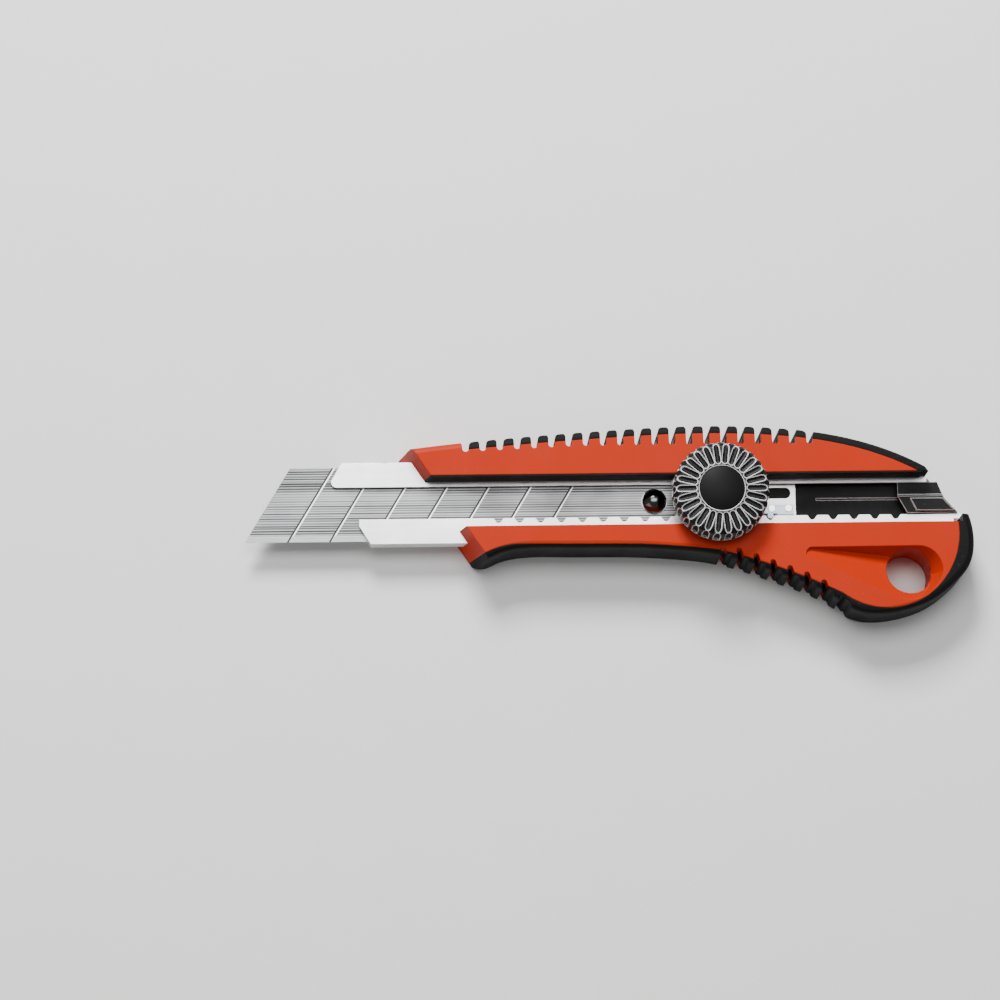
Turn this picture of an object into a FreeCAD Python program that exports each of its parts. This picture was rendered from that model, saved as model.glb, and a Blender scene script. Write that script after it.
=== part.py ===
import FreeCAD, Part
import math
import os
from FreeCAD import Vector

# A heavy duty 18 mm snap-off knife with a screw-down lock wheel, lying on its back. Millimetres.
# x runs along the blade from the sleeve's mouth (blade tip towards -x), y is up the blade from its
# centre line, z is the thickness with the wheel on top and z = 0 on the handle's back. The files are
# written with x = 0 moved to the lock wheel's axis.

# --- driving dimensions -------------------------------------------------------------------------
blade_width = 18.0
blade_thickness = 0.5
blade_length = 110.0
blade_out = 20.7             # tip beyond the sleeve's upper mouth, as the slider is drawn
edge_angle = 59.0            # of the blade's ends and score lines to its cutting edge
score_pitch = 10.0
score_width = 0.35
score_depth = 0.15
score_count = 7
bevel_height = 1.4           # cutting bevel

body_thickness = 14.4
web_thickness = 4.0          # handle behind the sleeve
butt_x = 153.8               # rearmost point of the handle
front_x = 23.6               # front end of the handle on the centre line, at the back face
front_slope = 2.0 / 3.0      # the front end runs back by this much per millimetre down
front_draft = 3.0            # and leans back by this much from the back face to the front face
edge_radius = 1.5
thumb_rib_pitch = 4.1
finger_rib_pitch = 3.97
finger_valley_count = 8
thumb_valley_width = 1.5
finger_valley_width = 1.3
thumb_rib_rounding = 1.1
finger_rib_rounding = 0.8
hang_hole_diameter = 11.0
hang_hole_chamfer = 0.8      # at the back only
scoop_depth = 6.2            # of the thumb recess below the face
scoop_slope = 24.0           # of its floor to the face, in degrees

sheet = 0.8                  # steel sleeve wall
lip_width = 6.0
plate_thickness = 0.8        # slider
tongue_thickness = 0.5       # tail cap's tongue, between the sleeve's floor and the slider
mouth_step = 6.5             # lower lip starts this far behind the upper one

wheel_behind_blade = 8.1     # lock wheel's axis behind the blade's rear end, on the centre line
wheel_diameter = 22.8
wheel_height = 7.2
flute_count = 26
flute_radius = 0.7           # on the wheel's top
stud_diameter = 4.0
thread_pitch = 0.7
peg_ahead = 15.0             # blade peg in front of the wheel's axis
peg_radius = 2.9
peg_rise = 1.4               # of its domed end
detent_behind = 12.7         # spring's nose behind the wheel's axis
tooth_pitch = 5.0
travel_back = 30.0
travel_forward = 60.0

# --- clearances ---------------------------------------------------------------------------------
fit = 0.05                   # fixed pieces that slip together
slide_gap = 0.1              # pieces that slide on each other
blade_side_gap = 0.1
blade_play = 0.35            # blade under the sleeve's lips
clamp_gap = 0.02             # under the clamp plate and over the slider, when locked
wheel_gap = 0.3              # wheel over the handle's face

# --- levels and widths that follow --------------------------------------------------------------
end_shift = 1 / math.tan(math.radians(edge_angle))
blade_rear = blade_length - blade_out - blade_width / 2 * end_shift      # on the centre line
wheel_x = blade_rear + wheel_behind_blade
sleeve_half = blade_width / 2 + blade_side_gap + sheet
lip_edge = sleeve_half - lip_width
slot_top = lip_edge + 1.1
slot_bottom = -lip_edge - 3.1
rail_thickness = 0.4

sleeve_z = web_thickness + fit
floor_z = sleeve_z + sheet
tongue_z = floor_z + slide_gap
plate_z = tongue_z + tongue_thickness + slide_gap
plate_top = plate_z + plate_thickness
blade_z = plate_top + fit
lip_z = blade_z + blade_thickness + blade_play
lip_top = lip_z + sheet
pad_top = lip_z - clamp_gap
pad_z = pad_top - plate_thickness
slider_half = sleeve_half - sheet - 0.4

peg_x = wheel_x - peg_ahead
peg_shank = 1.5
detent_x = wheel_x + detent_behind
plate_front = peg_x - 4.7
plate_rear = wheel_x + 19.0
face_z = body_thickness
over = 2.0                   # how far cutting tools run past what they cut


# --- small tools --------------------------------------------------------------------------------
def above(distance):
    """Height of a point that is this far above the sleeve's upper side."""
    return sleeve_half + distance


def below(distance):
    """Height of a point that is this far below the sleeve's lower side."""
    return -sleeve_half - distance


def rear(distance):
    """Place of a point this far in front of the butt."""
    return butt_x - distance


def smooth(points):
    """Curve through points, paced by the distances between them."""
    runs = [0.0]
    for near, far in zip(points, points[1:]):
        runs.append(runs[-1] + math.dist(near, far))
    curve = Part.BSplineCurve()
    curve.interpolate(Points=[Vector(*p, 0) for p in points], Parameters=runs)
    return curve.toShape()


def height_on(edge, x):
    """Height at which a level line of the outline passes x."""
    upright = Part.makeLine(Vector(x, -200, 0), Vector(x, 200, 0))
    return edge.distToShape(upright)[1][0][0].y


def outline(start, *steps):
    """Closed wire. A step is a point for a straight run, a pair (via, end) for an arc, or an edge."""
    edges = []
    here = start
    for step in steps + (start,):
        if isinstance(step, Part.Shape):
            edges.append(step)
            end = (step.lastVertex().X, step.lastVertex().Y)
        elif isinstance(step[0], tuple):
            via, end = step
            edges.append(Part.Arc(Vector(*here, 0), Vector(*via, 0), Vector(*end, 0)).toShape())
        else:
            end = step
            if end != here:
                edges.append(Part.LineSegment(Vector(*here, 0), Vector(*end, 0)).toShape())
        here = end
    return Part.Wire(edges)


def prism(wire, low, high):
    """Solid between two heights over a closed wire."""
    solid = Part.Face(wire).extrude(Vector(0, 0, high - low))
    solid.translate(Vector(0, 0, low))
    return solid


def block(x0, x1, y0, y1, z0, z1):
    return Part.makeBox(x1 - x0, y1 - y0, z1 - z0, Vector(x0, y0, z0))


def post(x, y, radius, z0, z1):
    return Part.makeCylinder(radius, z1 - z0, Vector(x, y, z0))


def dome(x, radius, z, rise):
    """Cap of a ball on the centre line, with this radius at its foot and this rise."""
    ball_radius = (radius ** 2 + rise ** 2) / (2 * rise)
    ball = Part.makeSphere(ball_radius, Vector(x, 0, z + rise - ball_radius))
    return ball.common(post(x, 0, radius, z, z + rise + over))


def side_prism(profile, start, along, length):
    """Prism with a profile of (across, height) points, run along a level direction from a start."""
    along = Vector(*along, 0).normalize()
    across = Vector(-along.y, along.x, 0)
    corners = [Vector(*start, 0) + across * u + Vector(0, 0, v) for u, v in profile]
    return Part.Face(Part.makePolygon(corners + corners[:1])).extrude(along * length)


def groove(x, y, angle, depth, width, flare, drift):
    """Cutter for a round-bottomed groove from an edge point inwards; angle is the way out of it."""
    r = width / 2
    w = r + drift
    wire = outline(
        (-depth + r, r), (-flare, w), ((-0.3 * flare, w + 0.3 * flare), (0, w + flare)),
        (over, w + flare), (over, -w - flare), (0, -w - flare),
        ((-0.3 * flare, -w - 0.3 * flare), (-flare, -w)), (-depth + r, -r), ((-depth, 0), (-depth + r, r)))
    cutter = prism(wire, -over, body_thickness + over)
    cutter.rotate(Vector(0, 0, 0), Vector(0, 0, 1), angle)
    cutter.translate(Vector(x, y, 0))
    return cutter


# --- handle outline -----------------------------------------------------------------------------
def front_at(y):
    return front_x - y * front_slope


shoulder = (front_at(above(1.8)), above(1.8))
rib_start = front_x + 6.9
tail_tip = (rear(12.4), above(-3.2))
butt_top = (rear(2.4), below(-4.7))


def inset(points, distance):
    """Points of a line moved to the right of its run, which is into the handle."""
    moved = []
    for i, (x, y) in enumerate(points):
        before = points[max(i - 1, 0)]
        after = points[min(i + 1, len(points) - 1)]
        scale = distance / math.dist(before, after)
        moved.append((x + scale * (after[1] - before[1]), y - scale * (after[0] - before[0])))
    return moved


def back_line(depth=0.0):
    """Curve along the thumb ribs' tips from the shoulder to the tail's tip, or that deep inside it."""
    middle = (rib_start + rear(60.8)) / 2
    points = [shoulder, (rib_start, above(3.5)), (middle, above(6.0)), (rear(60.8), above(7.1)),
              (rear(47.8), above(6.5)), (rear(35.8), above(5.0)), (rear(23.8), above(1.9)), tail_tip]
    return smooth(inset(points, depth))


def belly_line(depth=0.0):
    """Curve round the butt, along the finger ribs' tips and the belly to the toe, or inside it."""
    points = [
        butt_top, (rear(1.4), below(1.1)), (rear(2.6), below(7.2)), (rear(6.6), below(12.0)),
        (rear(12.1), below(16.0)), (rear(18.5), below(18.3)), (rear(24.8), below(19.1)),
        (rear(30.4), below(18.1)), (rear(34.3), below(15.5)), (rear(47.3), below(9.4)),
        (rear(61.8), below(4.6)), (rear(71.8), below(3.2)), (rear(84.8), below(2.5)),
        (front_x + 32.4, below(2.4)), (front_x + 20.4, below(2.6)), (front_x + 15.6, below(3.8)),
        (front_x + 12.4, below(5.1)), (front_at(below(4.6)), below(4.6))]
    return smooth(inset(points, depth))


def handle_outline(depth, height):
    back = back_line(depth)
    belly = belly_line(depth)
    start = (back.firstVertex().X, back.firstVertex().Y)
    top = (belly.firstVertex().X, belly.firstVertex().Y)
    wire = outline(start, back, (rear(11.4), slot_top), (rear(3.9), below(-5.0)), top, belly)
    wire.translate(Vector(0, 0, height))
    return wire


def rounded_rings():
    """Outlines that step round the edge of the back, up the side and round the edge of the face."""
    rings = []
    for angle in (0, 30, 60, 90):
        turn = math.radians(angle)
        rings.append((edge_radius * (1 - math.sin(turn)), edge_radius * (1 - math.cos(turn))))
    rings += [(depth, face_z - height) for depth, height in rings[::-1]]
    return [handle_outline(depth, height) for depth, height in rings]


def front_end_cut():
    """Removes everything in front of the handle's slanted, leaning front end."""
    lean = front_draft / body_thickness
    ahead = 40
    profile = [(ahead, -over), (lean * over, -over), (-front_draft - lean * over, face_z + over),
               (ahead, face_z + over)]
    low = (front_at(below(ahead)), below(ahead))
    high = (front_at(above(ahead)), above(ahead))
    return side_prism(profile, low, (-front_slope, 1.0), math.dist(low, high))


def grooves():
    """The thumb ribs on top and the finger ribs underneath are what these leave standing."""
    cutters = []
    first = rib_start + thumb_valley_width - 0.1
    x = first
    back = back_line()
    while x < rear(39.5):
        edge = height_on(back, x)
        floor = min(above(1.1) + (x - first) * 0.045, above(2.3))
        cutters.append(groove(x, edge, 90, edge - floor, thumb_valley_width, thumb_rib_rounding, 0.05))
        x += thumb_rib_pitch
    belly = belly_line()
    last = finger_valley_count - 1
    for k in range(finger_valley_count):
        x = rear(60.9 - finger_rib_pitch * k)
        depth = 1.9 if k in (0, last) else 2.9
        edge = height_on(belly, x)
        cutters.append(groove(x, edge, -76, depth, finger_valley_width, finger_rib_rounding, 0.1))
    return Part.makeCompound(cutters)


def envelope():
    """The handle with its grips, before the sleeve's tunnel and the wheel's slot are cut."""
    solid = Part.makeLoft(rounded_rings(), True, True)
    solid = solid.cut(front_end_cut())
    return solid.cut(grooves())


def upper_grip_region():
    """Rib tips and tail rim, tied together by a backbone inside the upper beam."""
    rim = back_line(2.1)
    start = (rim.firstVertex().X, rim.firstVertex().Y)
    end_y = rim.lastVertex().Y
    cap = prism(outline(start, rim, (rear(0), end_y), (rear(0), above(20)), (start[0], above(20))),
                -over, face_z + over)
    cap = cap.cut(block(-over, rib_start + 1.4, 0, above(30), -2 * over, face_z + 2 * over))
    spine = block(rib_start + 1.4, rear(37.0), above(-0.9), above(20), lip_top + 1.0, face_z - 2.0)
    return cap.fuse(spine)


def lower_grip_region():
    """Belly, finger ribs and butt rim, tied together by a backbone behind the finger ribs."""
    rib_in = (rear(33.3), below(14.0))
    butt_in = (rear(13.3), below(15.0))
    wire = outline(
        (front_x - 10, below(3.3)), (front_x + 12.6, below(3.5)),
        ((front_x + 16.6, below(2.0)), (front_x + 20.4, below(1.4))), (rear(80.8), below(1.7)),
        ((rear(71.8), below(2.3)), (rear(61.8), below(3.4))), ((rear(47.3), below(8.0)), rib_in),
        ((rear(23.3), below(17.7)), butt_in), ((rear(6.9), below(7.6)), (rear(5.1), below(-2.9))),
        (rear(5.1), 0), (rear(-10), 0), (rear(-10), below(40)), (front_x - 10, below(40)))
    cap = prism(wire, -over, face_z + over)
    spine = prism(outline((rear(66.0), below(1.5)), ((rear(47.3), below(5.4)), (rear(30.0), below(13.0))),
                          (rear(30.0), below(40)), (rear(66.0), below(40))), 4.2, 10.4)
    return cap.fuse(spine)


def sleeve_plan(gap):
    """The sleeve's outline from above, or its tunnel's when there is a gap; the mouth is on the left."""
    half = sleeve_half + gap
    low = -half
    tip = [(2.4, half), (0, lip_edge + 1.9), ((0.2, lip_edge + 0.5), (1.4, lip_edge)),
           (mouth_step, -lip_edge), (mouth_step, -lip_edge - 1.6), (mouth_step + 2.7, low)]
    if gap:
        tip = [(-blade_out, half), (-blade_out, low)]
    tail = [(rear(6.8 - gap), low), (rear(5.2 - gap), low + 1.6), (rear(5.2 - gap), below(-4.8 + gap)),
            (rear(2.2 - 4 * gap), below(-4.8 + gap)), (rear(2.2 - 4 * gap), -lip_edge),
            (rear(11.4 - 8 * gap), lip_edge), (rear(11.4 - 8 * gap), above(-4.0 + gap)),
            (rear(23.3 - gap), above(-4.0 + gap)), (rear(27.3 - gap), half)]
    return outline(*tip, *tail)


def tunnel():
    """Everything the sleeve, the wheel's hub and the tail cap need out of the handle."""
    far = butt_x + 40
    top = slot_top + rail_thickness
    high = face_z + over
    sleeve_room = prism(sleeve_plan(fit), web_thickness, lip_top + fit)
    slot = block(-40, far, slot_bottom, top, web_thickness + sheet, high)
    end_wall = block(rear(4.1), far, slot_bottom - 1, below(-4.7), 0, high + over)
    rear_room = block(rear(11.4), far, below(-4.7), top, web_thickness, high)
    return sleeve_room.fuse([slot.cut(end_wall), rear_room])


# --- scoop and hang hole ------------------------------------------------------------------------
hole_x = rear(17.0)
hole_y = below(8.7)
crease_start = (rear(39.6), below(6.1))
crease_end = (rear(20.8), below(15.3))


def scoop():
    """Thumb recess beside the hang hole: its floor rises to the face along the lower crease."""
    def ring(inward, height):
        start = (rear(40.4), below(3.0) - 0.4 * inward)
        wire = outline(
            start, (rear(14.8) - inward, below(2.9) - inward),
            ((rear(10.4) - inward, below(5.1) - 0.6 * inward), (rear(9.2) - inward, below(9.1))),
            ((rear(12.3) - inward, below(14.1) + 0.3 * inward), (rear(17.6), below(15.8))),
            ((rear(19.7), below(15.4)), crease_end), crease_start,
            ((rear(41.6) + 0.2 * inward, below(4.7)), start))
        wire.translate(Vector(0, 0, height))
        return wire

    rings = [ring(3.2, face_z - scoop_depth), ring(0, face_z), ring(0, face_z + over)]
    walls = Part.makeLoft(rings, True, True)
    along = (crease_end[0] - crease_start[0], crease_end[1] - crease_start[1])
    slope = math.tan(math.radians(scoop_slope))
    profile = [(-6, face_z + 6 * slope), (30, face_z - 30 * slope), (30, face_z + 12), (-6, face_z + 12)]
    length = math.hypot(*along)
    start = (crease_start[0] - along[0] / length * 15, crease_start[1] - along[1] / length * 15)
    return walls.common(side_prism(profile, start, along, length + 40))


def hang_hole():
    r = hang_hole_diameter / 2
    bore = post(hole_x, hole_y, r, -over, face_z + over)
    back_rim = Part.makeCone(r + hang_hole_chamfer, r, hang_hole_chamfer, Vector(hole_x, hole_y, 0))
    return bore.fuse(back_rim)


# --- fixed pieces -------------------------------------------------------------------------------
rivet_places = (front_x + 11.0, wheel_x + 8.0)
rivet_shank = 1.6
rivet_head = 3.0
rivet_sink = 0.3             # of the head under the handle's back


def countersink(x):
    return Part.makeCone(rivet_head, rivet_shank, rivet_head - rivet_shank, Vector(x, 0, rivet_sink))


def rivet(x):
    """Countersunk in the handle's back, with a flat head inside the sleeve."""
    shank = post(x, 0, rivet_shank, rivet_sink, floor_z + 0.1)
    inside = post(x, 0, rivet_head - 0.2, floor_z, floor_z + 0.45)
    return shank.fuse([inside, countersink(x)])


def rivet_rooms(low, high):
    tools = []
    for x in rivet_places:
        tools.append(post(x, 0, rivet_shank, low, high))
        if low < 0:
            tools.append(post(x, 0, rivet_head, low, rivet_sink))
            tools.append(countersink(x))
    return Part.makeCompound(tools)


def handle_pieces():
    """Handle body and its two rubber grips, cut from one envelope so that they meet face to face."""
    whole = envelope().cut(tunnel())
    upper = upper_grip_region()
    lower = lower_grip_region()
    body = whole.cut([upper, lower]).cut([scoop(), hang_hole(), rivet_rooms(-over, web_thickness + over)])
    return {
        "handle_body": body,
        "upper_grip_strip": whole.common(upper),
        "lower_grip_strip": whole.common(lower),
    }


def slide_rail():
    """Black wear strip that lines the slot's upper wall, beside the wheel's hub."""
    y = slot_top + rail_thickness
    strip = block(0, rear(13.2), slot_top, y, lip_top + fit, face_z - 0.1)
    return strip.cut(front_end_cut())


def blade_sleeve():
    """Bent steel channel: floor, two sides and two lips, the lower one toothed for the detent."""
    half = sleeve_half
    end = butt_x
    solid = prism(sleeve_plan(0), sleeve_z, lip_top)
    hollow = block(-over, end, -half + sheet, half - sheet, floor_z, lip_z)
    opening = block(-over, end, -lip_edge, lip_edge, floor_z, lip_top + over)
    solid = solid.cut([hollow, opening])
    teeth = []
    place = detent_x + travel_back
    while place > detent_x - travel_forward - tooth_pitch - 0.1:
        round_end = ((place, -lip_edge - 1.1), (place - 0.8, -lip_edge - 0.5))
        wire = outline((place - 1.5, -lip_edge + 0.4), (place + 1.5, -lip_edge + 0.4),
                       (place + 0.8, -lip_edge - 0.5), round_end)
        teeth.append(prism(wire, lip_z - 0.1, lip_top + over))
        place -= tooth_pitch
    notch = post(12.7, half, 0.45, lip_z, lip_top + over)
    rivets = rivet_rooms(0, lip_z)
    return solid.cut(teeth + [notch, rivets])


def tail_cap():
    """Black plug at the rear: tongue on the sleeve's floor, rear block, and a head between the lips."""
    half = lip_edge + 0.8
    line = [(rear(11.2), lip_edge + 1.1), (rear(10.0), lip_edge - 0.4), (rear(8.6), lip_edge - 1.8),
            (rear(7.6), 0.0), (rear(4.2), -lip_edge + 0.1)]
    front = rivet_places[1] + rivet_head + 0.4
    tongue = prism(outline((front, -half), (rear(5.4), -half), (rear(4.4), -lip_edge + fit),
                           *line[::-1], (front, lip_edge + 1.1)), tongue_z, tongue_z + tongue_thickness)
    back = prism(outline((rear(11.2), -lip_edge + fit + 0.1), *line[::-1]), tongue_z, lip_z + 0.3)
    head_z = pad_top - plate_thickness + 0.9
    edge = lip_edge - fit - 0.1
    head = prism(outline((rear(18.6), edge), (rear(18.6), 0.3), (rear(16.4), -edge), (rear(4.3), -edge),
                         (rear(7.6), 0.0), (rear(9.0), edge)), head_z, lip_top + 0.9)
    ridge = prism(outline((rear(18.6), 0.2), (rear(7.6), 0.2), (rear(8.0), 0.7), (rear(18.6), 0.7)),
                  head_z, lip_top + 1.3)
    pad = prism(outline((rear(15.6), -0.3), (rear(14.2), -edge + 0.5), (rear(5.3), -edge + 0.5),
                        (rear(8.0), -0.3)), head_z, lip_top + 1.6)
    line_cut = block(plate_rear + 5.0, rear(13.0), 0.2, 0.7, tongue_z + 0.25, tongue_z + 1.0)
    cap = tongue.cut(line_cut).fuse([back, head, ridge, pad])
    return cap.removeSplitter()


# --- sliding pieces -----------------------------------------------------------------------------
def slanted(x, half):
    """Ends of a line across the slider, parallel to the blade's ends, through x on the centre line."""
    return (x - half * end_shift, -half), (x + half * end_shift, half)


def tail_corner(back, top):
    """What the slider leaves free so that, pulled fully back, it clears the handle's narrow tail."""
    low = above(-4.4)
    return outline((rear(27.3) - back, sleeve_half), (rear(23.3) - back, low), (plate_rear + over, low),
                   (plate_rear + over, top), (rear(27.3) - back, top))


def slider_plate():
    """Steel strip under the blade, stepped up behind it to bear on the lips, and down again."""
    half = slider_half
    step = blade_rear + 0.3
    low, high = slanted(step, half)
    wall_low, wall_high = slanted(step + plate_thickness, half)
    front = prism(outline((plate_front, -half + 2), (plate_front + 2, -half), wall_low, wall_high,
                          (plate_front + 2, half), (plate_front, half - 2)), plate_z, plate_top)
    riser = prism(outline(low, wall_low, wall_high, high), plate_z, pad_top)
    pad = prism(outline(low, (wheel_x + 10.5, -half), (wheel_x + 10.5, half), high), pad_z, pad_top)
    drop = block(wheel_x + 9.7, wheel_x + 10.5, -half, half, plate_z, pad_top)
    tail = prism(outline((wheel_x + 9.7, -half), (plate_rear - 1, -half), (plate_rear, -half + 1),
                         (plate_rear, half - 1), (plate_rear - 1, half), (wheel_x + 9.7, half)),
                 plate_z, plate_top)
    window = prism(outline((wheel_x + 12.0, 0.6), (plate_rear - 2.4, 0.6), ((plate_rear - 1.2, 1.9),
                           (plate_rear - 2.4, 3.2)), (wheel_x + 12.0, 3.2)), plate_z - 1, plate_top + 1)
    holes = [post(peg_x, 0, peg_shank, 0, face_z), post(wheel_x, 0, stud_diameter / 2, 0, face_z)]
    holes += [post(x, spring_y, 0.6, 0, face_z) for x in spring_rivet_places]
    corner = prism(tail_corner(travel_back + 1.0, above(over)), 0, face_z)
    return front.fuse([riser, pad, drop, tail]).cut(holes + [window, corner]).removeSplitter()


spring_y = -1.9
spring_rivet_places = (wheel_x + 13.2, wheel_x + 17.2)


def detent_spring():
    """Leaf riveted to the slider's tail, with an upright edge and a nose in the lower lip's teeth."""
    leaf = 0.3
    front = detent_x - 1.5
    low = plate_top + 0.01
    top = lip_top - 0.1
    flange_y = -lip_edge + 0.5
    base = block(front, plate_rear - 0.6, flange_y, spring_y + 0.9, low, low + leaf)
    flange = block(front, detent_x + 1.8, flange_y, flange_y + leaf, low, top)
    tip = (detent_x, -lip_edge - 0.7)
    nose = prism(outline((detent_x - 0.55, flange_y), (tip, (detent_x + 0.55, flange_y))), lip_z + 0.1, top)
    holes = [post(x, spring_y, 0.6, 0, face_z) for x in spring_rivet_places]
    return base.fuse([flange, nose]).cut(holes).removeSplitter()


def spring_rivets():
    rivets = []
    for x in spring_rivet_places:
        shank = post(x, spring_y, 0.6, plate_z, plate_top + 0.45)
        rivets.append(shank.fuse(post(x, spring_y, 0.85, plate_top + 0.31, plate_top + 0.5)))
    return Part.makeCompound(rivets)


def blade():
    """18 mm blade with parallel score lines, a ground bevel and the hole for its peg."""
    half = blade_width / 2
    tip = -blade_out
    run = blade_width * end_shift
    end = tip + blade_length - run
    plan = outline((tip, -half), (end, -half), (end + run, half), (tip + run, half))
    solid = prism(plan, blade_z, blade_z + blade_thickness)
    cutters = [post(peg_x, 0, peg_radius + 0.2, 0, face_z)]
    for sign in (1, -1):
        mid = blade_z + blade_thickness / 2
        profile = [(-1, mid + sign * blade_thickness), (-1, mid + sign * 0.03),
                   (0, mid + sign * 0.03), (bevel_height, mid + sign * blade_thickness / 2),
                   (bevel_height, mid + sign * blade_thickness)]
        cutters.append(side_prism(profile, (tip - 5, -half), (1, 0), blade_length + 10))
    low = blade_z + blade_thickness - score_depth
    past = over * end_shift
    for k in range(1, score_count + 1):
        x = tip + k * score_pitch
        score = outline((x - past, -half - over), (x - past + score_width, -half - over),
                        (x + run + past + score_width, half + over), (x + run + past, half + over))
        cutters.append(prism(score, low, low + 1))
    return solid.cut(cutters)


def blade_peg():
    """Shouldered peg riveted into the slider, with a domed end through the blade's hole."""
    shank = post(peg_x, 0, peg_shank, plate_z, plate_top)
    dome_z = lip_top - 0.3
    shoulder = post(peg_x, 0, peg_radius, plate_top, dome_z)
    return shank.fuse([shoulder, dome(peg_x, peg_radius, dome_z, peg_rise)]).removeSplitter()


# --- lock wheel ---------------------------------------------------------------------------------
washer_thickness = 0.4
clamp_thickness = 1.0
clamp_z = lip_top + clamp_gap
washer_z = clamp_z + clamp_thickness + clamp_gap
hub_z = washer_z + washer_thickness + clamp_gap
wheel_z = face_z + wheel_gap
wheel_top = wheel_z + wheel_height
insert_top = wheel_top - 3.0
spigot_radius = 3.0
spigot_z = pad_top + 0.25
hub_radius = slot_top - 0.4
insert_radius = 3.7
cap_radius = 5.4
stop_z = insert_top + thread_pitch + 0.15
stud_top = stop_z + 0.9


def wheel_stud():
    """Screw stud: flat head under the slider's step, thread up through the wheel's insert."""
    r = stud_diameter / 2
    head = post(wheel_x, 0, 3.2, plate_z, pad_z)
    shaft = post(wheel_x, 0, r, pad_z, stud_top)
    neck = post(wheel_x, 0, r, stop_z, stop_z + 0.5).cut(post(wheel_x, 0, r - 0.5, stop_z, stop_z + 0.5))
    return head.fuse(shaft).cut(neck)


def stop_ring():
    """Open ring in the stud's groove, which keeps the wheel from coming off."""
    r = stud_diameter / 2
    ring = post(wheel_x, 0, r + 1.2, stop_z + 0.03, stop_z + 0.47)
    ring = ring.cut(post(wheel_x, 0, r - 0.5, stop_z, stop_z + 1))
    return ring.cut(block(wheel_x, wheel_x + 9, -0.9, 0.9, stop_z - 1, stop_z + 1))


def clamp_plate():
    """Pressure plate over both lips, guided by the slot's walls and by a lug between the lips."""
    y0 = slot_bottom + 0.2
    y1 = slot_top - 0.2
    plate = block(wheel_x - 7.0, wheel_x + 7.0, y0, y1, clamp_z, clamp_z + clamp_thickness)
    corners = [e for e in plate.Edges if e.BoundBox.ZLength > 0.5 * clamp_thickness]
    plate = plate.makeFillet(1.5, corners)
    y = lip_edge - 0.2
    low = lip_z + 0.1
    lugs = [block(x, x + 2.3, -y, y, low, clamp_z + 0.2) for x in (wheel_x - 6.5, wheel_x + 4.2)]
    return plate.fuse(lugs).cut(post(wheel_x, 0, spigot_radius + fit, 0, face_z)).removeSplitter()


def spring_washer():
    ring = post(wheel_x, 0, hub_radius - 0.2, washer_z, washer_z + washer_thickness)
    return ring.cut(post(wheel_x, 0, spigot_radius + fit, 0, face_z))


def wheel_insert():
    """Brass nut moulded into the wheel; its spigot turns in the clamp plate."""
    barrel = post(wheel_x, 0, insert_radius, hub_z + 1.0, insert_top)
    spigot = post(wheel_x, 0, spigot_radius, spigot_z, hub_z + 1.0)
    groove_z = lip_top - 0.55
    neck = post(wheel_x, 0, spigot_radius, groove_z, groove_z + 0.4)
    neck = neck.cut(post(wheel_x, 0, spigot_radius - 0.3, groove_z, groove_z + 0.4))
    bore = post(wheel_x, 0, stud_diameter / 2 + fit, 0, wheel_top)
    return barrel.fuse(spigot).cut([neck, bore])


def swivel_ring():
    """Snap ring under the clamp plate, in the spigot's groove."""
    low = lip_top - 0.53
    ring = post(wheel_x, 0, spigot_radius + 0.5, low, low + 0.36)
    ring = ring.cut(post(wheel_x, 0, spigot_radius - 0.3, low, low + 1))
    return ring.cut(block(wheel_x - 9, wheel_x, -0.6, 0.6, low - 1, low + 1))


def lock_wheel():
    """Fluted knob with a hub that reaches down between the beams."""
    r = wheel_diameter / 2
    profile = [(0, hub_z), (hub_radius, hub_z), (hub_radius, wheel_z), (r - 0.8, wheel_z),
               (r, wheel_z + 0.8)]
    points = [Vector(wheel_x + u, 0, v) for u, v in profile]
    shoulder = Vector(wheel_x + r, 0, wheel_top - 2.2)
    via = Vector(wheel_x + r - 0.55, 0, wheel_top - 0.75)
    rim = Vector(wheel_x + r - 2.0, 0, wheel_top - 0.1)
    inner = Vector(wheel_x + cap_radius + 0.4, 0, wheel_top)
    top = Vector(wheel_x, 0, wheel_top)
    edges = [Part.LineSegment(a, b).toShape() for a, b in zip(points, points[1:])]
    edges += [Part.LineSegment(points[-1], shoulder).toShape(), Part.Arc(shoulder, via, rim).toShape()]
    edges += [Part.LineSegment(rim, inner).toShape(), Part.LineSegment(inner, top).toShape()]
    edges += [Part.LineSegment(top, points[0]).toShape()]
    knob = Part.Face(Part.Wire(edges)).revolve(Vector(wheel_x, 0, 0), Vector(0, 0, 1), 360)
    flutes = []
    start = Vector(wheel_x + cap_radius + 1.2, 0, wheel_top + 0.15)
    for k in range(flute_count):
        across = Part.makeCylinder(flute_radius, r, start, Vector(1, 0, -0.03))
        ball = Part.makeSphere(flute_radius, start)
        down = post(wheel_x + r + 0.3, 0, 0.85, wheel_z + 1.2, wheel_top + 1)
        cutter = across.fuse([down, ball])
        cutter.rotate(Vector(wheel_x, 0, 0), Vector(0, 0, 1), 360.0 * k / flute_count)
        flutes.append(cutter)
    pocket = post(wheel_x, 0, cap_radius, insert_top, wheel_top + 1)
    bore = post(wheel_x, 0, insert_radius, hub_z + 1.0, wheel_top)
    spigot_hole = post(wheel_x, 0, spigot_radius, hub_z - 1, wheel_z)
    return knob.cut(flutes).cut([pocket, bore, spigot_hole])


def wheel_hub_cap():
    """Domed cap pressed into the wheel over the stud's end."""
    base = wheel_top - 0.2
    skirt = post(wheel_x, 0, cap_radius, insert_top, base)
    room = post(wheel_x, 0, cap_radius - 0.8, insert_top, stud_top + 0.2)
    return skirt.fuse(dome(wheel_x, cap_radius, base, 0.7)).cut(room).removeSplitter()


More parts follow.
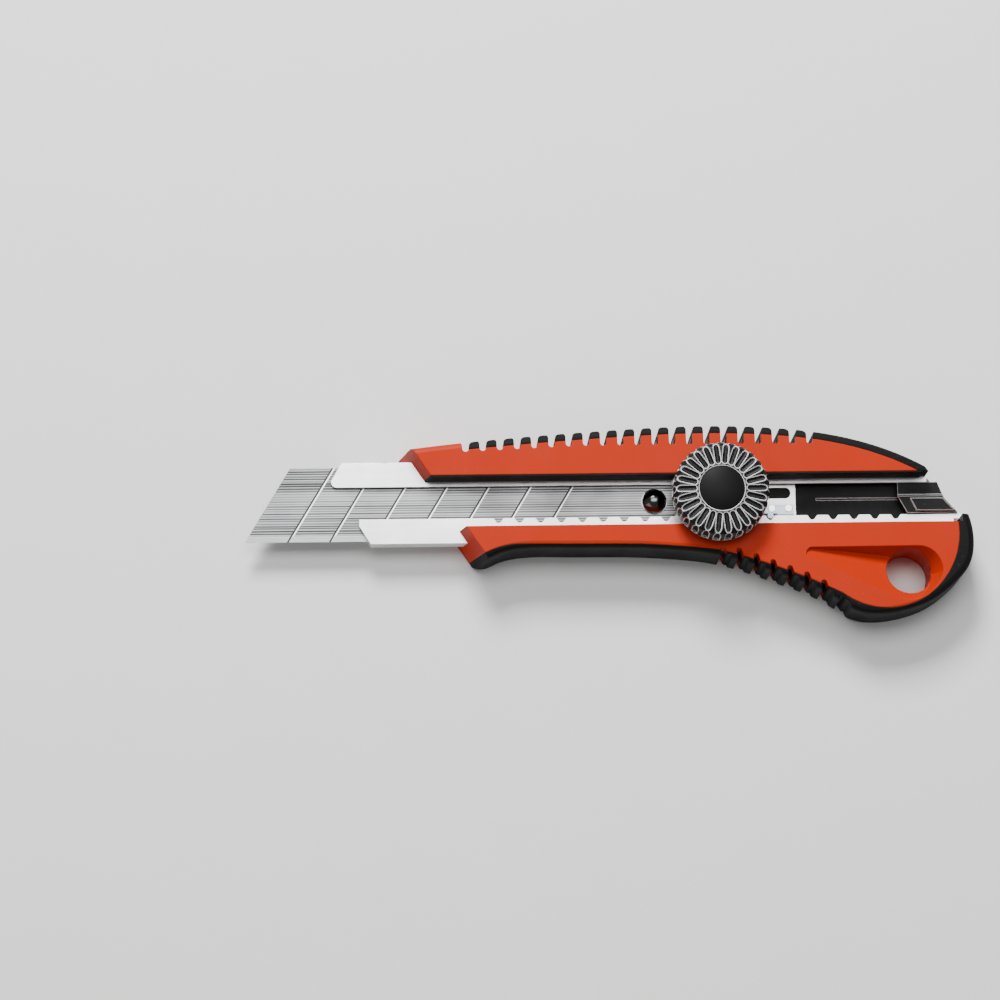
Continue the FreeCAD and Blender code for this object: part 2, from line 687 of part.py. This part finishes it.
# --- export -------------------------------------------------------------------------------------
def export(name, shape):
    if not shape.isValid():
        print("INVALID", name)
    placed = shape.copy()
    placed.translate(Vector(-wheel_x, 0, 0))
    placed.exportStep(f"parts/{name}.step")
    print(f"{name}: {len(placed.Solids)} solid(s), {placed.Volume:.1f} mm3")


os.makedirs("parts", exist_ok=True)
pieces = handle_pieces()
pieces["slide_rail_strip"] = slide_rail()
pieces["blade_sleeve"] = blade_sleeve()
pieces["sleeve_rivets"] = Part.makeCompound([rivet(x) for x in rivet_places])
pieces["tail_cap"] = tail_cap()
pieces["slider_plate"] = slider_plate()
pieces["detent_spring"] = detent_spring()
pieces["spring_rivets"] = spring_rivets()
pieces["blade"] = blade()
pieces["blade_peg"] = blade_peg()
pieces["wheel_stud"] = wheel_stud()
pieces["stop_ring"] = stop_ring()
pieces["clamp_plate"] = clamp_plate()
pieces["spring_washer"] = spring_washer()
pieces["lock_wheel"] = lock_wheel()
pieces["wheel_insert"] = wheel_insert()
pieces["swivel_ring"] = swivel_ring()
pieces["wheel_hub_cap"] = wheel_hub_cap()
for name, shape in pieces.items():
    export(name, shape)
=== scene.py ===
"""Looks for a heavy duty 18 mm snap-off knife, lying on its back under soft studio light."""

import math

import bmesh
import bpy
from mathutils import Matrix, Vector


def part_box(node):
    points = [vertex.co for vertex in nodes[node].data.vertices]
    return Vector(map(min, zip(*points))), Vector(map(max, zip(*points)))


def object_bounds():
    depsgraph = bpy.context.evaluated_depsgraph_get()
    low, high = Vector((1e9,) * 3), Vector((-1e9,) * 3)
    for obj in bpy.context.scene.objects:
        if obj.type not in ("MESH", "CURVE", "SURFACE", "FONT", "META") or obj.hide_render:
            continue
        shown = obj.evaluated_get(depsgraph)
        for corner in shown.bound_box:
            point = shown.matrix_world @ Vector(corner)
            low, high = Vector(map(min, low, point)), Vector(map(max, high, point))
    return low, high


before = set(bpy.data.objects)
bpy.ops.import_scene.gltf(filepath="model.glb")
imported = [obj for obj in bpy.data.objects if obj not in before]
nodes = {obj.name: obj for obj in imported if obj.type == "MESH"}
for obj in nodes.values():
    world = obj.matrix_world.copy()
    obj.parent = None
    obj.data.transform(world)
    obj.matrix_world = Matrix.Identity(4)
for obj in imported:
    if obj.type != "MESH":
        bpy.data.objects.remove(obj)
cad_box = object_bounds()

MM = 0.001

blade_end_angle = math.radians(59)
score_pitch = 10 * MM
score_count = 7
bevel_height = 1.4 * MM

dust_colour = (0.42, 0.40, 0.37, 1.0)
bevel_colour = (0.70, 0.71, 0.72, 1.0)
# painted highlight beside the score grooves, and painted shade along them
score_highlight_colour = (0.82, 0.82, 0.82, 1.0)
score_shade_colour = (0.03, 0.03, 0.032, 1.0)
pin_colour = (0.20, 0.008, 0.0006, 1.0)

camera_distance = 0.9
camera_lean = math.radians(12)
camera_turn = math.radians(2)
camera_roll = math.radians(-1)


# --- shader helpers -----------------------------------------------------------------------------
def node(tree, kind, sockets=None, **settings):
    """New shader node; each named input takes a number, a colour or another node's output."""
    made = tree.nodes.new("ShaderNode" + kind)
    for name, value in settings.items():
        setattr(made, name, value)
    for name, value in (sockets or {}).items():
        if isinstance(value, bpy.types.NodeSocket):
            tree.links.new(value, made.inputs[name])
        else:
            made.inputs[name].default_value = value
    return made


def calc(tree, operation, first, second=0.0):
    return node(tree, "Math", {0: first, 1: second}, operation=operation).outputs[0]


def spread(tree, value, low, high, to_low=0.0, to_high=1.0):
    """Value from low to high carried over to another range, and held at its ends."""
    return node(tree, "MapRange", {"Value": value, "From Min": low, "From Max": high,
                                   "To Min": to_low, "To Max": to_high}).outputs[0]


def blend(tree, factor, first, second):
    return node(tree, "Mix", {0: factor, 6: first, 7: second}, data_type="RGBA").outputs[2]


def noise(tree, place, scale, detail=2.0, roughness=0.5):
    return node(tree, "TexNoise", {"Vector": place, "Scale": scale, "Detail": detail,
                                   "Roughness": roughness}).outputs[0]


def place_on(tree):
    return node(tree, "TexCoord").outputs["Object"]


def group(name, inputs, outputs):
    """Empty node group with named sockets; gives the group, its inputs and its outputs."""
    tree = bpy.data.node_groups.new(name, "ShaderNodeTree")
    for label, kind, value in inputs:
        socket = tree.interface.new_socket(name=label, in_out="INPUT", socket_type="NodeSocket" + kind)
        socket.default_value = value
    for label, kind in outputs:
        tree.interface.new_socket(name=label, in_out="OUTPUT", socket_type="NodeSocket" + kind)
    return tree, tree.nodes.new("NodeGroupInput").outputs, tree.nodes.new("NodeGroupOutput").inputs


def use(tree, effect, **values):
    """Places a shared effect in a material with its own values and gives its outputs."""
    made = tree.nodes.new("ShaderNodeGroup")
    made.node_tree = effect
    for name, value in values.items():
        made.inputs[name.replace("_", " ")].default_value = value
    return made.outputs


# --- shared effects -----------------------------------------------------------------------------
def make_edge_wear_and_highlight():
    """Edges rounded over in the shading, and a broken line along them: rubbed wear on most finishes, a
    painted highlight on the wheel's flutes and the tail cap.
    """
    tree, given, out = group("edge_wear_and_highlight", [
        ("Radius", "Float", 0.3 * MM), ("Onset", "Float", 0.03), ("Full", "Float", 0.2),
        ("Patch Scale", "Float", 500.0), ("Bare", "Float", 0.45)],
        [("Normal", "Vector"), ("Wear And Highlight", "Float")])
    rounded = node(tree, "Bevel", {"Radius": given["Radius"]}, samples=6).outputs[0]
    flat = node(tree, "NewGeometry").outputs["Normal"]
    agree = node(tree, "VectorMath", {0: rounded, 1: flat}, operation="DOT_PRODUCT").outputs["Value"]
    turn = calc(tree, "SUBTRACT", 1.0, agree)
    mask = spread(tree, turn, given["Onset"], given["Full"])
    broken = calc(tree, "ADD", noise(tree, place_on(tree), given["Patch Scale"], 3.0), given["Bare"])
    patches = spread(tree, broken, 0.85, 1.05)
    tree.links.new(rounded, out["Normal"])
    tree.links.new(calc(tree, "MULTIPLY", mask, patches), out["Wear And Highlight"])
    return tree


def make_moulded_grain():
    """Fine spark-eroded texture of a plastic mould, with slow changes of tone over the moulding."""
    tree, given, out = group("moulded_grain", [("Scale", "Float", 2400.0)],
                             [("Height", "Float"), ("Tone", "Float")])
    place = place_on(tree)
    pits = node(tree, "TexVoronoi", {"Vector": place, "Scale": given["Scale"]}).outputs["Distance"]
    fine = noise(tree, place, calc(tree, "MULTIPLY", given["Scale"], 1.7), 2.0)
    slow = noise(tree, place, 60.0, 3.0)
    height = calc(tree, "ADD", calc(tree, "MULTIPLY", pits, 0.6), calc(tree, "MULTIPLY", fine, 0.7))
    tone = calc(tree, "ADD", calc(tree, "MULTIPLY", slow, 0.75), calc(tree, "MULTIPLY", fine, 0.25))
    tree.links.new(height, out["Height"])
    tree.links.new(tone, out["Tone"])
    return tree


def make_ground_lines():
    """Lines left by a grinding belt, long along x and short across it, with the belt's even pitch."""
    tree, given, out = group("ground_lines", [
        ("Along", "Float", 40.0), ("Across", "Float", 3000.0), ("Pitch", "Float", 0.6 * MM),
        ("Even", "Float", 0.0)], [("Height", "Float"), ("Tone", "Float")])
    x, y, z = node(tree, "SeparateXYZ", {0: place_on(tree)}).outputs
    stretched = node(tree, "CombineXYZ", {
        "X": calc(tree, "MULTIPLY", x, given["Along"]), "Y": calc(tree, "MULTIPLY", y, given["Across"]),
        "Z": calc(tree, "MULTIPLY", z, given["Across"])}).outputs[0]
    lines = noise(tree, stretched, 1.0, 3.0, 0.6)
    coarse = noise(tree, stretched, 0.31, 1.0)
    loose = calc(tree, "ADD", calc(tree, "MULTIPLY", lines, 0.65), calc(tree, "MULTIPLY", coarse, 0.35))
    count = calc(tree, "DIVIDE", y, given["Pitch"])
    wander = calc(tree, "ADD", count, calc(tree, "MULTIPLY", coarse, 0.7))
    wave = calc(tree, "SINE", calc(tree, "MULTIPLY", wander, 2 * math.pi))
    even = calc(tree, "MULTIPLY", calc(tree, "MULTIPLY", wave, 0.13), given["Even"])
    height = calc(tree, "ADD", loose, even)
    tree.links.new(height, out["Height"])
    tree.links.new(spread(tree, height, 0.36, 0.64), out["Tone"])
    return tree


def make_blade_marks():
    """Score lines painted dark as the shade in their grooves, a painted highlight beside each, slanted
    across the blade, and the ground cutting bevel.
    """
    tree, given, out = group("blade_marks", [
        ("Tip", "Float", 0.0), ("Lower Edge", "Float", 0.0), ("Bevel", "Float", bevel_height)],
        [("Score Shade", "Float"), ("Score Highlight", "Float"), ("Bevel Mask", "Float")])
    x, y, z = node(tree, "SeparateXYZ", {0: place_on(tree)}).outputs
    rise = calc(tree, "SUBTRACT", y, given["Lower Edge"])
    slanted = calc(tree, "SUBTRACT", calc(tree, "SUBTRACT", x, given["Tip"]),
                   calc(tree, "MULTIPLY", rise, 1 / math.tan(blade_end_angle)))
    within = calc(tree, "MODULO", calc(tree, "ADD", slanted, score_pitch / 2), score_pitch)
    from_line = calc(tree, "SUBTRACT", within, score_pitch / 2)
    # painted shade along each score groove
    score_shade = spread(tree, calc(tree, "ABSOLUTE", calc(tree, "SUBTRACT", from_line, 0.17 * MM)),
                   0.16 * MM, 0.3 * MM, 1.0, 0.0)
    # painted highlight beside each score groove
    score_highlight = spread(tree, calc(tree, "ABSOLUTE", calc(tree, "SUBTRACT", from_line, 0.62 * MM)),
                  0.08 * MM, 0.22 * MM, 1.0, 0.0)
    inside = calc(tree, "MULTIPLY", calc(tree, "GREATER_THAN", slanted, 0.5 * score_pitch),
                  calc(tree, "LESS_THAN", slanted, (score_count + 0.5) * score_pitch))
    bevel = calc(tree, "LESS_THAN", rise, given["Bevel"])
    tree.links.new(calc(tree, "MULTIPLY", score_shade, inside), out["Score Shade"])
    tree.links.new(calc(tree, "MULTIPLY", score_highlight, inside), out["Score Highlight"])
    tree.links.new(bevel, out["Bevel Mask"])
    return tree


def make_mould_marks():
    """Rings left by the ejector pins in the flat back, in one even row along the handle."""
    tree, given, out = group("mould_marks", [
        ("Pitch", "Float", 30 * MM), ("Row", "Float", 0.0), ("Pin", "Float", 2.4 * MM),
        ("Back", "Float", 0.3 * MM)], [("Ring", "Float"), ("Disc", "Float")])
    x, y, z = node(tree, "SeparateXYZ", {0: place_on(tree)}).outputs
    half = calc(tree, "MULTIPLY", given["Pitch"], 0.5)
    along = calc(tree, "SUBTRACT", calc(tree, "FLOORED_MODULO", x, given["Pitch"]), half)
    across = calc(tree, "SUBTRACT", y, given["Row"])
    flat = node(tree, "CombineXYZ", {"X": along, "Y": across}).outputs[0]
    radius = node(tree, "VectorMath", {0: flat}, operation="LENGTH").outputs["Value"]
    from_pin = calc(tree, "SUBTRACT", radius, given["Pin"])
    on_back = calc(tree, "LESS_THAN", z, given["Back"])
    ring = spread(tree, calc(tree, "ABSOLUTE", from_pin), 0.08 * MM, 0.2 * MM, 1.0, 0.0)
    disc = spread(tree, from_pin, -0.05 * MM, 0.05 * MM, 1.0, 0.0)
    tree.links.new(calc(tree, "MULTIPLY", ring, on_back), out["Ring"])
    tree.links.new(calc(tree, "MULTIPLY", disc, on_back), out["Disc"])
    return tree


def make_turned_lines():
    """Fine rings of a turned face about an upright axis, and their faint runout."""
    tree, given, out = group("turned_lines", [
        ("Centre", "Vector", (0.0, 0.0, 0.0)), ("Pitch", "Float", 0.12 * MM)],
        [("Height", "Float"), ("Tone", "Float")])
    place = place_on(tree)
    apart = node(tree, "VectorMath", {0: place, 1: given["Centre"]}, operation="SUBTRACT").outputs[0]
    level = node(tree, "VectorMath", {0: apart, 1: (1.0, 1.0, 0.0)}, operation="MULTIPLY").outputs[0]
    radius = node(tree, "VectorMath", {0: level}, operation="LENGTH").outputs["Value"]
    turns = calc(tree, "DIVIDE", radius, given["Pitch"])
    wave = calc(tree, "SINE", calc(tree, "MULTIPLY", turns, 2 * math.pi))
    uneven = noise(tree, place, 900.0, 2.0)
    height = calc(tree, "ADD", calc(tree, "MULTIPLY", wave, 0.25), uneven)
    tree.links.new(height, out["Height"])
    tree.links.new(spread(tree, height, 0.2, 0.9), out["Tone"])
    return tree


def make_handling():
    """Smudges from hands, and the thin dust that settles where they don't reach."""
    tree, given, out = group("handling", [("Scale", "Float", 70.0), ("Dust Scale", "Float", 1500.0)],
                             [("Smudge", "Float"), ("Dust", "Float")])
    place = place_on(tree)
    smudge = spread(tree, noise(tree, place, given["Scale"], 4.0, 0.6), 0.35, 0.65)
    specks = spread(tree, noise(tree, place, given["Dust Scale"], 2.0), 0.6, 0.78)
    film = spread(tree, noise(tree, place, calc(tree, "MULTIPLY", given["Scale"], 0.6), 2.0), 0.45, 0.7)
    tree.links.new(smudge, out["Smudge"])
    tree.links.new(calc(tree, "MULTIPLY", specks, film), out["Dust"])
    return tree


edge_wear_and_highlight = make_edge_wear_and_highlight()
moulded_grain = make_moulded_grain()
ground_lines = make_ground_lines()
turned_lines = make_turned_lines()
handling = make_handling()
blade_marks = make_blade_marks()
mould_marks = make_mould_marks()


# --- finishes -----------------------------------------------------------------------------------
def shade(colour, factor):
    return tuple(min(1.0, c * factor) for c in colour) + (1.0,)


def finish(name, colour, rough, pattern, pattern_values, depth, metallic=0.0, contrast=0.12, wear_and_highlight=None,
           radius=0.25, onset=0.03, full=0.2, bare=0.45, rough_swing=0.1, dust=0.0, specular=0.5):
    """Material from one colour: pattern and smudges vary it, edges are rounded and tinted, rubbed paler
    on most finishes and a painted highlight on the black wheel and tail cap.

    depth is the pattern's height and radius the edges' rounding, both in millimetres.
    """
    material = bpy.data.materials.new(name)
    material.use_nodes = True
    tree = material.node_tree
    shader = tree.nodes["Principled BSDF"]
    edges = use(tree, edge_wear_and_highlight, Radius=radius * MM, Onset=onset, Full=full, Bare=bare)
    surface = use(tree, pattern, **pattern_values)
    touch = use(tree, handling)
    base = blend(tree, surface["Tone"], shade(colour, 1 - contrast), shade(colour, 1 + contrast))
    if dust:
        base = blend(tree, calc(tree, "MULTIPLY", touch["Dust"], dust), base, dust_colour)
    # edge tint: real wear on most finishes, a painted highlight on the wheel and the tail cap
    if wear_and_highlight:
        base = blend(tree, edges["Wear And Highlight"], base, tuple(wear_and_highlight) + (1.0,))
    swing = calc(tree, "ADD", calc(tree, "MULTIPLY", touch["Smudge"], 0.6),
                 calc(tree, "MULTIPLY", surface["Tone"], 0.4))
    roughness = spread(tree, swing, 0.0, 1.0, rough - rough_swing, rough + rough_swing)
    bump = node(tree, "Bump", {"Height": surface["Height"], "Distance": depth * MM, "Strength": 1.0,
                               "Normal": edges["Normal"]}).outputs[0]
    tree.links.new(base, shader.inputs["Base Color"])
    tree.links.new(roughness, shader.inputs["Roughness"])
    tree.links.new(bump, shader.inputs["Normal"])
    shader.inputs["Metallic"].default_value = metallic
    shader.inputs["Specular IOR Level"].default_value = specular
    return material


orange_abs = finish("orange_abs", (0.40, 0.018, 0.0006), 0.42, moulded_grain, {"Scale": 2600.0}, 0.012,
                    contrast=0.07, wear_and_highlight=(0.52, 0.05, 0.008), radius=0.3, dust=0.03, specular=0.07)
# black of the grip strips: real rubber, and along the handle's underside it also stands in for the shade
# there
black_rubber_and_shade = finish("black_rubber_and_shade", (0.004, 0.004, 0.0042), 0.6, moulded_grain, {"Scale": 1900.0}, 0.03,
                      contrast=0.3, wear_and_highlight=(0.014, 0.014, 0.0145), radius=0.4, dust=0.03, specular=0.1)
# black of the slot's rail strip: a dark sheet standing in for the shade under the upper beam
painted_shade_strip = finish("painted_shade_strip", (0.004, 0.004, 0.0045), 0.5, ground_lines, {"Along": 60.0}, 0.006,
                     contrast=0.3, wear_and_highlight=(0.02, 0.02, 0.022), radius=0.1, specular=0.1)
# near-white edge colour here is a painted highlight along the tail cap's edges
cap_black = finish("cap_black", (0.004, 0.004, 0.0045), 0.45, moulded_grain, {"Scale": 2600.0}, 0.01,
                   contrast=0.25, wear_and_highlight=(0.80, 0.80, 0.80), radius=0.2, onset=0.01, full=0.05, bare=0.7,
                   dust=0.03, specular=0.12)
# near-white edge colour here is a painted highlight along the wheel's flutes
wheel_black = finish("wheel_black", (0.004, 0.004, 0.0045), 0.42, moulded_grain, {"Scale": 2600.0}, 0.008,
                     contrast=0.2, wear_and_highlight=(0.92, 0.92, 0.92), radius=0.4, onset=0.012, full=0.05, bare=0.75,
                     specular=0.15)
hub_black = finish("hub_black", (0.004, 0.004, 0.0045), 0.5, moulded_grain, {"Scale": 3000.0}, 0.004,
                   contrast=0.2, wear_and_highlight=(0.02, 0.02, 0.02), radius=0.25, specular=0.08)
gunmetal = finish("gunmetal", (0.10, 0.10, 0.104), 0.18, turned_lines, {}, 0.0002, metallic=1.0,
                  contrast=0.15, wear_and_highlight=(0.25, 0.25, 0.25), radius=0.1, rough_swing=0.03)
plated_steel = finish("plated_steel", (0.76, 0.765, 0.765), 0.34, ground_lines, {"Along": 30.0}, 0.002,
                      metallic=0.6, contrast=0.03, wear_and_highlight=(0.97, 0.97, 0.97), radius=0.15)
slider_steel = finish("slider_steel", (0.66, 0.66, 0.67), 0.36, ground_lines, {"Along": 50.0}, 0.005,
                      metallic=0.9, contrast=0.1, wear_and_highlight=(0.85, 0.85, 0.86), radius=0.12)
turned_steel = finish("turned_steel", (0.70, 0.70, 0.71), 0.3, turned_lines, {}, 0.004,
                      metallic=1.0, contrast=0.08, wear_and_highlight=(0.88, 0.88, 0.88), radius=0.15)
spring_steel = finish("spring_steel", (0.30, 0.32, 0.37), 0.32, ground_lines, {"Along": 200.0}, 0.004,
                      metallic=1.0, contrast=0.2, wear_and_highlight=(0.6, 0.6, 0.62), radius=0.08)
insert_brass = finish("insert_brass", (0.78, 0.55, 0.22), 0.28, turned_lines, {}, 0.004,
                      metallic=1.0, contrast=0.1, wear_and_highlight=(0.9, 0.72, 0.4), radius=0.15)
ground_blade = finish("ground_blade", (0.145, 0.147, 0.15), 0.38, ground_lines,
                      {"Along": 9.0, "Across": 1650.0, "Even": 1.0}, 0.01, metallic=0.85, contrast=0.88,
                      wear_and_highlight=(0.9, 0.9, 0.9), radius=0.08)


def mark_blade(material):
    """Adds the score lines with their painted groove shade and painted highlight, and the bright cutting
    bevel, to the ground steel.
    """
    tree = material.node_tree
    shader = tree.nodes["Principled BSDF"]
    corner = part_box("blade")[0]
    marks = use(tree, blade_marks, Tip=corner.x, Lower_Edge=corner.y)
    steel = shader.inputs["Base Color"].links[0].from_socket
    steel = blend(tree, marks["Bevel Mask"], steel, bevel_colour)
    # painted highlight beside the scores, then painted shade in the score grooves
    steel = blend(tree, marks["Score Highlight"], steel, score_highlight_colour)
    steel = blend(tree, marks["Score Shade"], steel, score_shade_colour)
    tree.links.new(steel, shader.inputs["Base Color"])


def mark_back(material):
    """Adds the ejector pins' marks to the moulded handle's back."""
    tree = material.node_tree
    shader = tree.nodes["Principled BSDF"]
    low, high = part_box("handle_body")
    marks = use(tree, mould_marks, Row=(low.y + high.y) / 2 + 2 * MM)
    plastic = shader.inputs["Base Color"].links[0].from_socket
    normal = shader.inputs["Normal"].links[0].from_socket
    plastic = blend(tree, calc(tree, "MULTIPLY", marks["Ring"], 0.4), plastic, pin_colour)
    sunk = node(tree, "Bump", {"Height": marks["Disc"], "Distance": 0.08 * MM, "Normal": normal},
                invert=True).outputs[0]
    tree.links.new(plastic, shader.inputs["Base Color"])
    tree.links.new(sunk, shader.inputs["Normal"])


mark_blade(ground_blade)
mark_back(orange_abs)

finishes = {
    "handle_body": orange_abs, "upper_grip_strip": black_rubber_and_shade, "lower_grip_strip": black_rubber_and_shade,
    "slide_rail_strip": painted_shade_strip, "blade_sleeve": plated_steel, "sleeve_rivets": turned_steel,
    "tail_cap": cap_black, "slider_plate": slider_steel, "detent_spring": spring_steel,
    "spring_rivets": turned_steel, "blade": ground_blade, "blade_peg": gunmetal,
    "wheel_stud": turned_steel, "stop_ring": spring_steel, "clamp_plate": slider_steel,
    "spring_washer": spring_steel, "lock_wheel": wheel_black, "wheel_insert": insert_brass,
    "swivel_ring": spring_steel, "wheel_hub_cap": hub_black,
}
for name, material in finishes.items():
    slots = nodes[name].material_slots
    for slot in slots:
        slot.material = material
    if not slots:
        nodes[name].data.materials.append(material)


# --- floor, light and camera --------------------------------------------------------------------
def make_floor():
    mesh = bmesh.new()
    bmesh.ops.create_grid(mesh, x_segments=8, y_segments=8, size=1.6)
    bmesh.ops.translate(mesh, verts=mesh.verts, vec=(0, 0, cad_box[0][2] - 0.02 * MM))
    data = bpy.data.meshes.new("floor")
    mesh.to_mesh(data)
    mesh.free()
    floor = bpy.data.objects.new("floor", data)
    bpy.context.scene.collection.objects.link(floor)
    paper = finish("pale_floor", (0.78, 0.78, 0.775), 0.8, moulded_grain, {"Scale": 1200.0}, 0.02,
                   contrast=0.02, rough_swing=0.05, specular=0.2)
    data.materials.append(paper)


def make_light(name, place, aim, size, power):
    lamp = bpy.data.lights.new(name, "AREA")
    lamp.shape = "RECTANGLE"
    lamp.size, lamp.size_y = size
    lamp.energy = power
    holder = bpy.data.objects.new(name, lamp)
    bpy.context.scene.collection.objects.link(holder)
    holder.location = place
    holder.rotation_euler = (Vector(aim) - Vector(place)).to_track_quat("-Z", "Y").to_euler()


def make_camera():
    """Almost square to the face, leaning 12 degrees towards the cutting edge and 2 towards the tip."""
    aim = Vector((-51.6 * MM, 2.25 * MM, 0))
    towards = Vector((-math.sin(camera_turn), -math.sin(camera_lean), math.cos(camera_lean)))
    towards.normalize()
    ahead = -towards
    right = ahead.cross(Vector((0, 1, 0))).normalized()
    up = right.cross(ahead)
    cosine, sine = math.cos(camera_roll), math.sin(camera_roll)
    right, up = right * cosine + up * sine, up * cosine - right * sine
    camera = bpy.data.cameras.new("camera")
    camera.lens = 134.65
    camera.sensor_width = 36
    camera.clip_start = 0.01
    holder = bpy.data.objects.new("camera", camera)
    bpy.context.scene.collection.objects.link(holder)
    turn = Matrix((right, up, towards)).transposed().to_4x4()
    holder.matrix_world = Matrix.Translation(aim + towards * camera_distance) @ turn
    bpy.context.scene.camera = holder


def make_world():
    world = bpy.data.worlds.new("studio")
    world.use_nodes = True
    sky = world.node_tree.nodes["Background"]
    sky.inputs["Color"].default_value = (1.0, 1.0, 1.0, 1.0)
    sky.inputs["Strength"].default_value = 0.23
    bpy.context.scene.world = world


make_floor()
make_world()
make_light("key", (-0.15, 0.60, 0.62), (0, 0, 0), (0.28, 0.28), 13.5)
make_light("overhead", (-0.03, 0.24, 1.1), (-0.03, 0, 0), (0.8, 0.4), 7.5)
make_light("fill", (-0.7, -0.5, 0.6), (0, 0, 0), (0.6, 0.6), 1.5)
make_camera()
